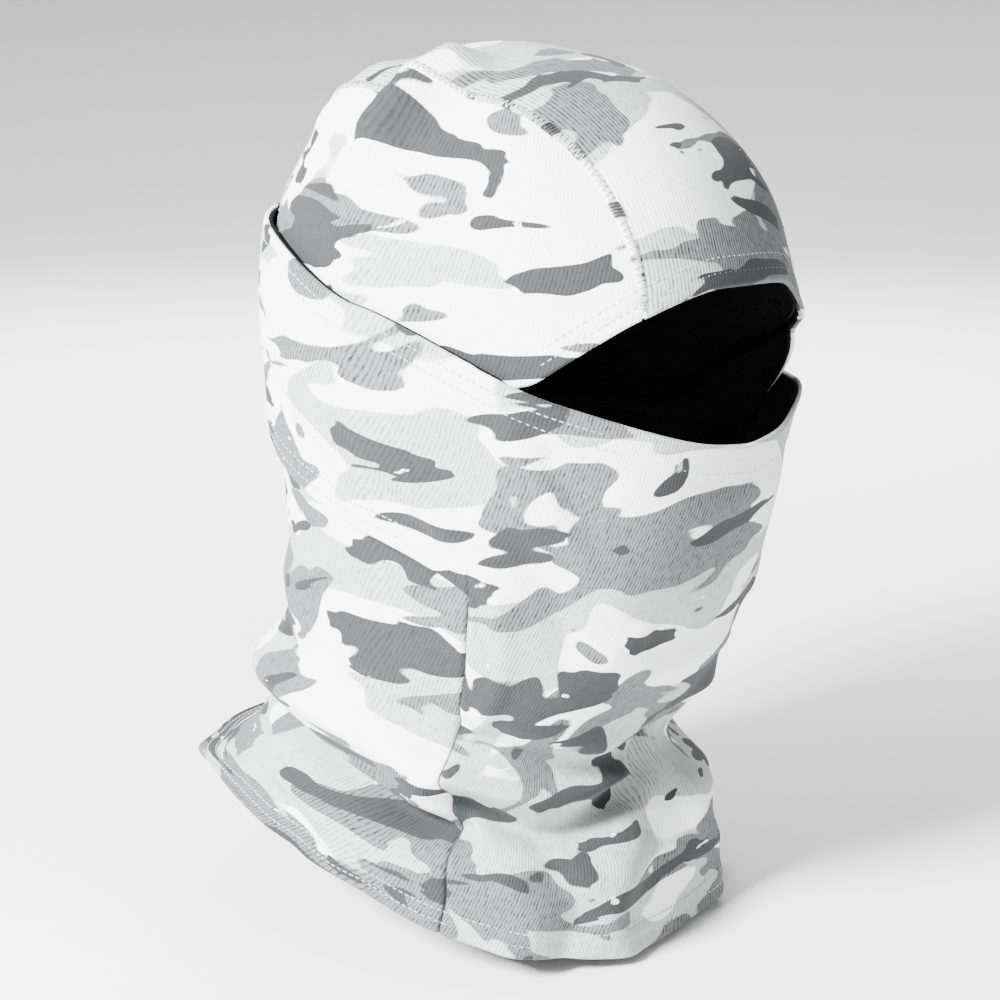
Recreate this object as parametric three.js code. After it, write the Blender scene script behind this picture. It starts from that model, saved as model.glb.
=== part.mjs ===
// Winter camouflage face mask (a cross-over balaclava), in millimetres, +Z up.
// The wearer faces -Y, the wearer's right is -X, and z = 0 is the lowest point of the front hem.
import * as THREE from "three";
import { mergeVertices } from "three/addons/utils/BufferGeometryUtils.js";

// ---- Driving dimensions -----------------------------------------------------------------

const CROWN_HEIGHT = 327; // hem to crown
const DOME_START = 220; // above this height the sections close over the head
const DOME_POWER = 2.4; // how flat the top of the dome is
const SECTION_POWER = 2.5; // 2 is an ellipse, more is squarer
const REAR_HEM_LIFT = 50; // the hem rides up on the shoulders behind
const LIFT_HEIGHT = 90; // the lift has died out at this height

// [height, reach] of the middle of the front and back, and the half width, from the head's axis
const FRONT_REACH = [[0, 80], [30, 78], [65, 65], [110, 88], [160, 105], [220, 112]];
const BACK_REACH = [[0, 122], [40, 104], [90, 90], [125, 77], [165, 76], [220, 82]];
const HALF_WIDTH = [[0, 82], [35, 73], [75, 68], [120, 71], [220, 79]];

const CLOTH = 1.4; // printed knit
const LINING = 1.2; // fleece
const GAP = 1; // clearance between a panel and its own lining
const TRIM_GAP = 1.5; // clearance between a panel and the hems, seams and threads on it
const HEM_DEPTH = 12; // width of a turned hem
const HEM_THICKNESS = 1.2;
const THREAD_RADIUS = 0.4;
const SEAM_WIDTH = 4;
const SEAM_THICKNESS = 1.2;

const CROWN_STRIP_HALF = 48; // the centre strip is twice this wide
const HOOD_LOW = 190; // lower edge of the hood, under the wings
const SIDE_SEAM_ANGLE = 70; // from the front, round to each side seam
const SIDE_SEAM_TOP = 128;
const BACK_ANGLE = 179.4; // the ring panels stop just short of the middle of the back
const WING_LIFT = 5.8; // the wings lie this much further out than the hood they wrap

// Edges as [angle from the front, height]; both sides of the mask are alike
const BROW_EDGE = [[0, 245], [15, 244], [33, 236], [47, 225], [58, 214]];
const FACE_TOP_EDGE = [[0, 190], [18, 194], [43, 204], [58, 212], [83, 232], [115, 257], [150, 268]];
const FACE_LOW_EDGE = [[0, 88], [35, 96], [70, 140], [100, 164], [135, 184], [180, 196]];

const CAMO = { color: 0xeef4f0, roughness: 0.9, metalness: 0 };
const FLEECE = { color: 0x111214, roughness: 1, metalness: 0 };
const THREAD = { color: 0xd8dcda, roughness: 0.8, metalness: 0 };

const mask = new THREE.Group();

// ---- The base surface -------------------------------------------------------------------

// Smooth curve through [position, value] pairs.
function profile(pairs, at) {
  let i = 0;
  while (i < pairs.length - 2 && at > pairs[i + 1][0]) i += 1;
  const slope = (k) => {
    const before = pairs[Math.max(k - 1, 0)];
    const after = pairs[Math.min(k + 1, pairs.length - 1)];
    return (after[1] - before[1]) / (after[0] - before[0]);
  };
  const span = pairs[i + 1][0] - pairs[i][0];
  const t = THREE.MathUtils.clamp((at - pairs[i][0]) / span, 0, 1);
  const near = pairs[i][1] * (1 + 2 * t) * (1 - t) ** 2 + slope(i) * span * t * (1 - t) ** 2;
  const far = pairs[i + 1][1] * t * t * (3 - 2 * t) - slope(i + 1) * span * t * t * (1 - t);
  return near + far;
}

// How much of its full size a section keeps at a height: 1 below the dome, 0 at the crown.
function domeScale(z) {
  const up = THREE.MathUtils.clamp((z - DOME_START) / (CROWN_HEIGHT - DOME_START), 0, 1);
  return Math.sqrt(1 - up ** DOME_POWER);
}

function halfWidth(z) {
  return profile(HALF_WIDTH, Math.min(z, DOME_START)) * domeScale(z);
}

function reach(z, front) {
  return profile(front ? FRONT_REACH : BACK_REACH, Math.min(z, DOME_START)) * domeScale(z);
}

// Below 1 inside the base surface, 1 on it, above 1 outside.
function fullness(x, y, z) {
  const across = Math.abs(x) / Math.max(halfWidth(z), 1e-3);
  const along = Math.abs(y) / Math.max(reach(z, y < 0), 1e-3);
  return (across ** SECTION_POWER + along ** SECTION_POWER) ** (1 / SECTION_POWER);
}

// Outward direction of the base surface at a point on it.
function outward(p) {
  const e = 0.5;
  const slope = (dx, dy, dz) =>
    fullness(p.x + dx, p.y + dy, p.z + dz) - fullness(p.x - dx, p.y - dy, p.z - dz);
  return new THREE.Vector3(slope(e, 0, 0), slope(0, e, 0), slope(0, 0, e)).normalize();
}

// Rise of the hem towards the back of the neck.
function raised(p) {
  const behind = (1 + p.y / Math.hypot(p.x, p.y, 1e-6)) / 2;
  const low = THREE.MathUtils.clamp(1 - p.z / LIFT_HEIGHT, 0, 1);
  return new THREE.Vector3(p.x, p.y, p.z + REAR_HEM_LIFT * behind * low ** 1.5);
}

// Moves a point of the base surface out along its normal, then lifts it with the hem.
function layered(p, out) {
  return raised(p.clone().addScaledVector(outward(p), out));
}

// Point of the surface at an angle from the front (positive to the wearer's left) and a height.
function around(angle, z, out) {
  const turn = THREE.MathUtils.degToRad(angle);
  const rounded = (v) => Math.sign(v) * Math.abs(v) ** (2 / SECTION_POWER);
  const x = halfWidth(z) * rounded(Math.sin(turn));
  const y = -reach(z, Math.cos(turn) > 0) * rounded(Math.cos(turn));
  return layered(new THREE.Vector3(x, y, z), out);
}

// How far the wings stand outside the hood at a place on the face panel.
function wingLift(angle, z) {
  const sideways = THREE.MathUtils.smoothstep(Math.abs(angle), 46, 64);
  const upward = THREE.MathUtils.smoothstep(z, 94, 136);
  return WING_LIFT * sideways * upward;
}

function aroundFace(angle, z, out) {
  return around(angle, z, out + wingLift(angle, z));
}

// Angle, in the plane x, from straight ahead up and over to the surface at height z.
const CROWN_CENTRE_Z = 215;
function overAngle(x, z, front) {
  const across = Math.abs(x) / halfWidth(z);
  const y = reach(z, front) * (1 - across ** SECTION_POWER) ** (1 / SECTION_POWER);
  const angle = Math.atan2(z - CROWN_CENTRE_Z, y);
  return front ? angle : Math.PI - angle;
}

// Point of the surface in the plane x, at an angle over the head.
function over(x, angle, out) {
  const point = (r) =>
    new THREE.Vector3(x, -r * Math.cos(angle), CROWN_CENTRE_Z + r * Math.sin(angle));
  let inside = 0;
  let outside = 180;
  for (let step = 0; step < 40; step += 1) {
    const middle = (inside + outside) / 2;
    const p = point(middle);
    if (p.z < CROWN_HEIGHT && fullness(p.x, p.y, p.z) < 1) inside = middle;
    else outside = middle;
  }
  return layered(point(inside), out);
}

// Height at which the surface, at an angle from the front, is as narrow as the centre strip.
function stripHeight(angle) {
  let low = HOOD_LOW;
  let high = CROWN_HEIGHT;
  const sideways = Math.abs(Math.sin(THREE.MathUtils.degToRad(angle))) ** (2 / SECTION_POWER);
  for (let step = 0; step < 40; step += 1) {
    const middle = (low + high) / 2;
    if (halfWidth(middle) * sideways > CROWN_STRIP_HALF) low = middle;
    else high = middle;
  }
  return low;
}

const edge = (pairs, angle) => profile(pairs, Math.abs(angle));

// ---- Building sheets, bands and threads -------------------------------------------------

function signedVolume(geometry) {
  const p = geometry.getAttribute("position");
  const index = geometry.index.array;
  const corner = (k) => new THREE.Vector3().fromBufferAttribute(p, index[k]);
  let volume = 0;
  for (let k = 0; k < index.length; k += 3) {
    volume += corner(k).dot(corner(k + 1).cross(corner(k + 2))) / 6;
  }
  return volume;
}

function addMesh(name, geometry, look) {
  const mesh = new THREE.Mesh(geometry, new THREE.MeshStandardMaterial(look));
  mesh.name = name;
  mask.add(mesh);
}

// A closed sheet: at(u, v, out) gives its surface for u and v from 0 to 1.
function addSheet(name, at, columns, rows, inner, outer, look) {
  const positions = [];
  const triangles = [];
  for (const out of [outer, inner]) {
    for (let row = 0; row <= rows; row += 1) {
      for (let column = 0; column <= columns; column += 1) {
        positions.push(...at(column / columns, row / rows, out).toArray());
      }
    }
  }
  const layer = (columns + 1) * (rows + 1);
  const id = (column, row, side) => side * layer + row * (columns + 1) + column;
  const quad = (a, b, c, d) => triangles.push(a, b, c, a, c, d);
  for (let row = 0; row < rows; row += 1) {
    for (let column = 0; column < columns; column += 1) {
      const next = column + 1;
      quad(id(column, row, 0), id(next, row, 0), id(next, row + 1, 0), id(column, row + 1, 0));
      quad(id(column, row + 1, 1), id(next, row + 1, 1), id(next, row, 1), id(column, row, 1));
    }
  }
  for (let column = 0; column < columns; column += 1) {
    const next = column + 1;
    quad(id(column, 0, 1), id(next, 0, 1), id(next, 0, 0), id(column, 0, 0));
    quad(id(column, rows, 0), id(next, rows, 0), id(next, rows, 1), id(column, rows, 1));
  }
  for (let row = 0; row < rows; row += 1) {
    const next = row + 1;
    quad(id(0, row, 0), id(0, next, 0), id(0, next, 1), id(0, row, 1));
    quad(id(columns, row, 1), id(columns, next, 1), id(columns, next, 0), id(columns, row, 0));
  }
  const geometry = new THREE.BufferGeometry();
  geometry.setAttribute("position", new THREE.Float32BufferAttribute(positions, 3));
  geometry.setIndex(triangles);
  if (signedVolume(geometry) < 0) geometry.setIndex(triangles.reverse());
  geometry.computeVertexNormals();
  addMesh(name, geometry, look);
}

// A thread along a path: place(t) is a point for t from 0 to 1.
function addThread(name, place, steps) {
  const points = [];
  for (let i = 0; i <= steps; i += 1) points.push(place(i / steps));
  const r = THREAD_RADIUS;
  const section = new THREE.Shape([
    new THREE.Vector2(-r, -r),
    new THREE.Vector2(r, -r),
    new THREE.Vector2(r, r),
    new THREE.Vector2(-r, r),
  ]);
  const options = { steps, extrudePath: new THREE.CatmullRomCurve3(points) };
  const geometry = new THREE.ExtrudeGeometry(section, options);
  geometry.deleteAttribute("normal");
  geometry.deleteAttribute("uv");
  const merged = mergeVertices(geometry, 1e-3);
  merged.computeVertexNormals();
  addMesh(name, merged, THREAD);
}

const mix = THREE.MathUtils.lerp;

// A cloth sheet with its fleece behind it.
function addLinedPanel(name, at, columns, rows) {
  addSheet(name, at, columns, rows, 0, CLOTH, CAMO);
  addSheet(`${name}_lining`, at, columns, rows, -GAP - LINING, -GAP, FLEECE);
}

// ---- Hood -------------------------------------------------------------------------------

const SEAM_MARGIN = 0.5; // each side of a seam line, panel edges stop this far short

// Angle from the front at which the brow section reaches a distance from the midline.
function browAngleAt(x) {
  const across = Math.abs(x) / halfWidth(BROW_EDGE[0][1]);
  return THREE.MathUtils.radToDeg(Math.asin(across ** (SECTION_POWER / 2)));
}

function addCrownCentre() {
  const half = CROWN_STRIP_HALF - SEAM_MARGIN;
  addLinedPanel(
    "crown_centre_panel",
    (u, v, out) => {
      const x = mix(-half, half, u);
      const brow = edge(BROW_EDGE, browAngleAt(x));
      const start = overAngle(x, brow, true);
      const end = overAngle(x, HOOD_LOW, false);
      return over(x, mix(start, end, v), out);
    },
    6,
    18,
  );
}

const HOOD_FRONT_ANGLE = 36;
const HOOD_BACK_ANGLE = 142;

// Lower edge of the hood's side: the eye opening, then under the wing to the nape.
function hoodSideLow(angle) {
  const corner = BROW_EDGE[BROW_EDGE.length - 1];
  if (angle <= corner[0]) return edge(BROW_EDGE, angle);
  return mix(corner[1], HOOD_LOW, THREE.MathUtils.smoothstep(angle, corner[0], 80));
}

function addCrownSide(name, side) {
  addLinedPanel(
    name,
    (u, v, out) => {
      const angle = mix(HOOD_FRONT_ANGLE, HOOD_BACK_ANGLE, u);
      const top = stripHeight(angle) - SEAM_MARGIN;
      return around(side * angle, mix(hoodSideLow(angle), top, v), out);
    },
    18,
    7,
  );
}

// A flat raised seam that runs over the head along the edge of the centre strip.
function addCrownSeam(name, side) {
  const middle = side * CROWN_STRIP_HALF;
  const brow = edge(BROW_EDGE, browAngleAt(middle)) + HEM_DEPTH;
  const start = overAngle(middle, brow, true);
  const end = overAngle(middle, HOOD_LOW, false);
  const base = CLOTH + TRIM_GAP;
  const shown = 0.66; // the wings cover the rest of it
  addSheet(
    name,
    (u, v, out) => {
      const x = middle + mix(-0.5, 0.5, u) * SEAM_WIDTH;
      return over(x, mix(start, end, v * shown), out);
    },
    1,
    28,
    base,
    base + SEAM_THICKNESS,
    CAMO,
  );
}

// ---- Face panel with its wings, and the neck --------------------------------------------

function addFacePanel() {
  addLinedPanel(
    "face_panel",
    (u, v, out) => {
      const angle = mix(-BACK_ANGLE, BACK_ANGLE, u);
      return aroundFace(angle, mix(edge(FACE_LOW_EDGE, angle), edge(FACE_TOP_EDGE, angle), v), out);
    },
    48,
    6,
  );
}

function addNeckFront() {
  const limit = SIDE_SEAM_ANGLE - SEAM_MARGIN;
  addLinedPanel(
    "neck_front_panel",
    (u, v, out) => {
      const angle = mix(-limit, limit, u);
      const top = edge(FACE_LOW_EDGE, angle) - 2 * SEAM_MARGIN;
      return aroundFace(angle, mix(0, top, v), out);
    },
    20,
    8,
  );
}

function addNeckBack() {
  const start = SIDE_SEAM_ANGLE + SEAM_MARGIN;
  addLinedPanel(
    "neck_back_panel",
    (u, v, out) => around(mix(start, 360 - start, u), mix(0, HOOD_LOW - 2 * SEAM_MARGIN, v), out),
    26,
    9,
  );
}

function addSideSeam(name, side) {
  const base = CLOTH + TRIM_GAP;
  const degrees = 3; // about the seam's width on the neck
  addSheet(
    name,
    (u, v, out) => {
      const angle = side * (SIDE_SEAM_ANGLE + mix(-0.5, 0.5, u) * degrees);
      return aroundFace(angle, mix(HEM_DEPTH, SIDE_SEAM_TOP, v), out);
    },
    1,
    12,
    base,
    base + SEAM_THICKNESS,
    CAMO,
  );
}

// The flat seam that joins the two wings at the middle of the back.
function addWingBackSeam() {
  const base = CLOTH + TRIM_GAP;
  const halfDegrees = 1.5;
  addSheet(
    "wing_back_seam",
    (u, v, out) => {
      const angle = 180 + mix(-halfDegrees, halfDegrees, u);
      const low = edge(FACE_LOW_EDGE, 180) + HEM_DEPTH + TRIM_GAP;
      const top = edge(FACE_TOP_EDGE, 180) - HEM_DEPTH;
      return around(angle, mix(low, top, v), out + WING_LIFT);
    },
    2,
    6,
    base,
    base + SEAM_THICKNESS,
    CAMO,
  );
}

// ---- Turned hems ------------------------------------------------------------------------

// A folded margin on the inside of an edge; side is 1 when the band lies above the edge.
function addHem(name, at, pairs, limit, side, columns) {
  const outer = -GAP - LINING - TRIM_GAP;
  const band = (angle, v) => edge(pairs, angle) + side * mix(0.3, HEM_DEPTH, v);
  addSheet(
    name,
    (u, v, out) => {
      const angle = mix(-limit, limit, u);
      return at(angle, band(angle, v), out);
    },
    columns,
    1,
    outer - HEM_THICKNESS,
    outer,
    CAMO,
  );
}

// The wings' hems lie between the hood and the wing, so they turn to the outside.
function addOuterHem(name, start, end, pairs, side) {
  const inner = CLOTH + TRIM_GAP;
  addSheet(
    name,
    (u, v, out) => {
      const angle = mix(start, end, u);
      return aroundFace(angle, edge(pairs, angle) + side * mix(0.5, HEM_DEPTH, v), out);
    },
    14,
    1,
    inner,
    inner + HEM_THICKNESS,
    CAMO,
  );
}

// ---- Stitch rows ------------------------------------------------------------------------

// Two parallel rows along an edge; above says on which side of the edge they lie.
function addStitchRows(name, at, pairs, limit, above, out, steps) {
  const rows = { outer_row: 5, inner_row: 10 };
  for (const [row, distance] of Object.entries(rows)) {
    addThread(
      `${name}_${row}`,
      (t) => {
        const angle = mix(-limit, limit, t);
        return at(angle, edge(pairs, angle) + above * distance, out);
      },
      steps,
    );
  }
}

const HEM_LINE = [[0, 0], [90, 0], [180, 0]];

addCrownCentre();
addCrownSide("crown_side_panel_right", -1);
addCrownSide("crown_side_panel_left", 1);
addCrownSeam("crown_seam_right", -1);
addCrownSeam("crown_seam_left", 1);
addFacePanel();
addNeckFront();
addNeckBack();
addSideSeam("side_seam_right", -1);
addSideSeam("side_seam_left", 1);
addWingBackSeam();
addHem("brow_hem", around, BROW_EDGE, 54, 1, 20);
addHem("bottom_hem", around, HEM_LINE, BACK_ANGLE, 1, 40);
addHem("face_panel_top_hem", aroundFace, FACE_TOP_EDGE, 44, -1, 18);
addOuterHem("wing_low_hem_right", -90, -BACK_ANGLE, FACE_LOW_EDGE, 1);
addOuterHem("wing_low_hem_left", 90, BACK_ANGLE, FACE_LOW_EDGE, 1);

const ON_CLOTH = CLOTH + TRIM_GAP + THREAD_RADIUS;
addStitchRows("brow_stitches", around, BROW_EDGE, 54, 1, ON_CLOTH, 24);
addStitchRows("face_top_stitches", aroundFace, FACE_TOP_EDGE, BACK_ANGLE, -1, ON_CLOTH, 48);
addStitchRows("bottom_hem_stitches", around, HEM_LINE, BACK_ANGLE, 1, ON_CLOTH, 40);

export default mask;
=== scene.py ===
"""Winter camouflage face mask: the visible cloth, hems, seams and stitches round the CAD frame.

Metres, +Z up. The wearer faces -Y and the wearer's right is -X. Angles round the head are in
degrees from the front, positive towards the wearer's left.
"""
import math

import bpy
import numpy as np
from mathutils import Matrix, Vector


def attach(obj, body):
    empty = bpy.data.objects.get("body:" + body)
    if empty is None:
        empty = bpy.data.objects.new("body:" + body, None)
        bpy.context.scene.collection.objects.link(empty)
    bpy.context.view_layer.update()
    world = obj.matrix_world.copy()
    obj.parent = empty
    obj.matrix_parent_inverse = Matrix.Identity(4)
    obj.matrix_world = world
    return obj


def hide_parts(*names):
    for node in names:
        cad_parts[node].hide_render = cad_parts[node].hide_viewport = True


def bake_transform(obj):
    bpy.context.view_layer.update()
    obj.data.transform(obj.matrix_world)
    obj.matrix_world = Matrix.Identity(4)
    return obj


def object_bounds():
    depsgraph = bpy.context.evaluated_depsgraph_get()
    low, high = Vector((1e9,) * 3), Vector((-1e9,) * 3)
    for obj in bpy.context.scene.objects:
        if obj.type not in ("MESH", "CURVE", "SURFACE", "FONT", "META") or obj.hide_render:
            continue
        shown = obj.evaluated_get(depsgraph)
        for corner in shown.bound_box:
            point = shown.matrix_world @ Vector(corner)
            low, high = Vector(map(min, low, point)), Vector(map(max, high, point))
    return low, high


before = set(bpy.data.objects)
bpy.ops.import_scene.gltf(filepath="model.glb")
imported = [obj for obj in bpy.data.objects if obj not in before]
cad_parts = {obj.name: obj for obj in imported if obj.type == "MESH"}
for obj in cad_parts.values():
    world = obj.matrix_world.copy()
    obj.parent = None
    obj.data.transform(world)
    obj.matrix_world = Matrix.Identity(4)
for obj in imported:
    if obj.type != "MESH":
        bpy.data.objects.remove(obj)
CAD_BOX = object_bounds()

# ---- Driving dimensions: the same base surface as the CAD model -------------------------

MM = 0.001
CROWN_HEIGHT = 327 * MM
DOME_START = 220 * MM
DOME_POWER = 2.4
SECTION_POWER = 2.5
REAR_HEM_LIFT = 50 * MM
LIFT_HEIGHT = 90 * MM

# [height, reach] in mm of the middle of the front and back, and the half width
FRONT_REACH = [[0, 80], [30, 78], [65, 65], [110, 88], [160, 105], [220, 112]]
BACK_REACH = [[0, 122], [40, 104], [90, 90], [125, 77], [165, 76], [220, 82]]
HALF_WIDTH = [[0, 82], [35, 73], [75, 68], [120, 71], [220, 79]]

# Edges as [angle, height in mm]; both sides of the mask are cut alike
BROW_EDGE = [[0, 245], [15, 244], [33, 236], [47, 225], [58, 214]]
FACE_TOP_EDGE = [[0, 190], [18, 194], [43, 204], [58, 212], [83, 232], [115, 257], [150, 268]]
FACE_LOW_EDGE = [[0, 88], [35, 96], [70, 140], [100, 164], [135, 184], [180, 196]]

# On the wearer's left the slack cloth closes the eye opening a little
LEFT_BROW_SAG = 8 * MM
LEFT_CHEEK_RISE = 5 * MM
LEFT_SLACK_ANGLE = 32
LEFT_SLACK_SPREAD = 14
WEB_START_ANGLE = 34  # and the hood's side runs on down behind the opening's corner
WEB_FULL_ANGLE = 54

CLOTH = 1.4 * MM
LINING = 1.2 * MM
LINING_GAP = 0.1 * MM  # the fleece is bonded to the back of the knit
LINING_OVERLAP = 7 * MM  # how far one panel's lining runs on behind the next
LINING_SETBACK = 1.5 * MM  # how far it stays behind a free edge
LINING_TUCK = 2.4 * MM  # how far it dips behind a seam
HEM_DEPTH = 12 * MM
STITCH_ROWS = (5 * MM, 10 * MM)
CROWN_STRIP_HALF = 48 * MM
HOOD_LOW = 190 * MM
SIDE_SEAM_ANGLE = 70
BACK_ANGLE = 179.4
WING_LIFT = 3.4 * MM
WING_GAPE = 1.0 * MM
SEAM_ROLL = 2.2 * MM  # radius of the rolled edges at the side seams
MESH_STEP = 2.2 * MM
HEAD_MIDDLE = np.array([0, 0, 150 * MM])
OUTSIDE_THE_HEAD = 180 * MM  # further from the crown's centre than any of the surface
HALVINGS = 40  # steps of a search by halving


def profile(pairs, at):
    """Smooth curve through [position, value] pairs, for an array of positions."""
    xs, ys = np.array(pairs, float).T
    before = np.maximum(np.arange(len(xs)) - 1, 0)
    after = np.minimum(np.arange(len(xs)) + 1, len(xs) - 1)
    slopes = (ys[after] - ys[before]) / (xs[after] - xs[before])
    i = np.clip(np.searchsorted(xs, at) - 1, 0, len(xs) - 2)
    span = xs[i + 1] - xs[i]
    t = np.clip((at - xs[i]) / span, 0, 1)
    near = ys[i] * (1 + 2 * t) * (1 - t) ** 2 + slopes[i] * span * t * (1 - t) ** 2
    far = ys[i + 1] * t * t * (3 - 2 * t) - slopes[i + 1] * span * t * t * (1 - t)
    return near + far


def smoothstep(x, low, high):
    t = np.clip((x - low) / (high - low), 0, 1)
    return t * t * (3 - 2 * t)


def dome_scale(z):
    up = np.clip((z - DOME_START) / (CROWN_HEIGHT - DOME_START), 0, 1)
    return np.sqrt(np.maximum(1 - up**DOME_POWER, 0))


def half_width(z):
    return MM * profile(HALF_WIDTH, np.minimum(z, DOME_START) / MM) * dome_scale(z)


def reach(z, front):
    low = np.minimum(z, DOME_START) / MM
    sizes = np.where(front, profile(FRONT_REACH, low), profile(BACK_REACH, low))
    return MM * sizes * dome_scale(z)


def fullness(p):
    """Below 1 inside the base surface, 1 on it, above 1 outside."""
    x, y, z = np.moveaxis(p, -1, 0)
    across = np.abs(x) / np.maximum(half_width(z), 1e-6)
    along = np.abs(y) / np.maximum(reach(z, y < 0), 1e-6)
    return (across**SECTION_POWER + along**SECTION_POWER) ** (1 / SECTION_POWER)


def outward(p):
    steps = 0.5 * MM * np.eye(3)
    slopes = np.stack([fullness(p + s) - fullness(p - s) for s in steps], -1)
    return slopes / np.linalg.norm(slopes, axis=-1, keepdims=True)


def raised(p):
    """Rise of the hem towards the back of the neck."""
    behind = (1 + p[..., 1] / np.maximum(np.hypot(p[..., 0], p[..., 1]), 1e-6)) / 2
    low = np.clip(1 - p[..., 2] / LIFT_HEIGHT, 0, 1)
    lifted = p.copy()
    lifted[..., 2] += REAR_HEM_LIFT * behind * low**1.5
    return lifted


def around(angle, z):
    """Base surface at an angle from the front and a height."""
    angle, z = np.broadcast_arrays(np.asarray(angle, float), np.asarray(z, float))
    turn = np.radians(angle)

    def rounded(v):
        return np.sign(v) * np.abs(v) ** (2 / SECTION_POWER)

    x = half_width(z) * rounded(np.sin(turn))
    y = -reach(z, np.cos(turn) > 0) * rounded(np.cos(turn))
    return np.stack([x, y, z], -1)


CROWN_CENTRE_Z = 215 * MM


def over_angle(x, z, front):
    """Angle, in the plane x, from straight ahead up and over to the surface at height z."""
    across = np.abs(x) / half_width(z)
    y = reach(z, front) * (1 - across**SECTION_POWER) ** (1 / SECTION_POWER)
    angle = np.arctan2(z - CROWN_CENTRE_Z, y)
    return angle if front else math.pi - angle


def over(x, angle):
    """Base surface in the plane x, at an angle over the head."""
    x, angle = np.broadcast_arrays(np.asarray(x, float), np.asarray(angle, float))
    inside = np.zeros(x.shape)
    outside = np.full(x.shape, OUTSIDE_THE_HEAD)

    def point(r):
        return np.stack([x, -r * np.cos(angle), CROWN_CENTRE_Z + r * np.sin(angle)], -1)

    for _ in range(HALVINGS):
        middle = (inside + outside) / 2
        p = point(middle)
        within = (p[..., 2] < CROWN_HEIGHT) & (fullness(p) < 1)
        inside = np.where(within, middle, inside)
        outside = np.where(within, outside, middle)
    return point(inside)


def strip_height(angle):
    """Height at which the surface is as narrow as the centre strip."""
    sideways = np.abs(np.sin(np.radians(angle))) ** (2 / SECTION_POWER)
    low = np.full(np.shape(angle), HOOD_LOW)
    high = np.full(np.shape(angle), CROWN_HEIGHT)
    for _ in range(HALVINGS):
        middle = (low + high) / 2
        wide = half_width(middle) * sideways > CROWN_STRIP_HALF
        low = np.where(wide, middle, low)
        high = np.where(wide, high, middle)
    return low


def left_slack(angle):
    """How slack the cloth is beside the left eye corner, from 0 to 1."""
    return np.exp(-(((angle - LEFT_SLACK_ANGLE) / LEFT_SLACK_SPREAD) ** 2))


def brow_edge(angle):
    return MM * profile(BROW_EDGE, np.abs(angle)) - LEFT_BROW_SAG * left_slack(angle)


def face_top_edge(angle):
    return MM * profile(FACE_TOP_EDGE, np.abs(angle)) + LEFT_CHEEK_RISE * left_slack(angle)


def face_low_edge(angle):
    return MM * profile(FACE_LOW_EDGE, np.abs(angle))


def bottom_edge(angle):
    """The hem, on the base surface before its back is raised."""
    return 0 * angle


def brow_angle_at(x):
    """Angle round the head at which the brow is x away from the middle."""
    across = np.abs(x) / half_width(np.array(BROW_EDGE[0][1] * MM))
    return np.sign(x) * np.degrees(np.arcsin(across ** (SECTION_POWER / 2)))


def wing_lift(angle, z):
    """How far the wings stand outside the hood, and how they gape at their free edge."""
    a = np.abs(angle)
    lift = WING_LIFT * smoothstep(a, 46, 64) * smoothstep(z, 94 * MM, 136 * MM)
    lift = lift * (1 - 0.35 * smoothstep(a, 120, 175))
    free = 1 - smoothstep(face_top_edge(angle) - z, 0, 34 * MM)
    gape = WING_GAPE * free * smoothstep(a, 84, 122) * (1 - smoothstep(a, 140, 170))
    return lift + gape


# ---- Folds ------------------------------------------------------------------------------

# Each fold: its line as (angle, height in mm), half width and height in mm. Negative is a
# valley. The left side has its own folds, a little different from the right side's.
RIGHT_FOLDS = [
    ([(-148, 88), (-116, 89), (-94, 80), (-76, 66)], 13, 10.5),
    ([(-140, 70), (-113, 61), (-97, 49), (-84, 43), (-68, 44)], 6, -13.5),
    ([(-124, 40), (-100, 29), (-78, 24)], 8, 4.5),
    ([(-118, 120), (-98, 112), (-80, 106)], 9, 3.2),
    ([(-150, 134), (-128, 126), (-112, 132)], 7, 2.6),
    ([(-126, 106), (-104, 97), (-84, 90)], 4, -2.6),
    ([(10, 74), (0, 58), (-17, 51), (-38, 46), (-54, 51), (-68, 57)], 5.5, -10.5),
    ([(-6, 64), (-28, 60), (-50, 63), (-66, 69)], 5.5, 5.5),
    ([(-5, 70), (-29, 69), (-49, 78), (-67, 87)], 4.5, -4.5),
    ([(-18, 80), (-42, 88), (-66, 98)], 7, 3.6),
    ([(-69, 30), (-44, 24), (-20, 32)], 9, 3.6),
    ([(-50, 0), (-46, 14), (-52, 28)], 8, 3.4),
    ([(-34, 2), (-32, 18), (-38, 32)], 6, -2.8),
    ([(-16, 0), (-20, 18), (-10, 38)], 9, 4.0),
    ([(-96, 0), (-92, 12), (-98, 24)], 9, 3.0),
    ([(-146, 0), (-138, 14), (-126, 22)], 9, 4.5),
    ([(-62, 198), (-44, 158), (-24, 128)], 5, 2.3),
    ([(-54, 188), (-40, 152), (-26, 132)], 4, -1.9),
    ([(-74, 192), (-58, 156), (-44, 122)], 6, -2.3),
    ([(-112, 226), (-92, 202), (-76, 164)], 7, 2.4),
    ([(-128, 214), (-112, 196), (-98, 176)], 5, -2.6),
    ([(-88, 186), (-72, 160), (-62, 136)], 5, 2.2),
    ([(-63, 138), (-60, 110), (-66, 84)], 4, 2.0),
    ([(-34, 178), (-12, 170), (8, 175)], 7, 1.6),
    ([(-30, 118), (-12, 110), (10, 114)], 7, 2.4),
]
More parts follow.
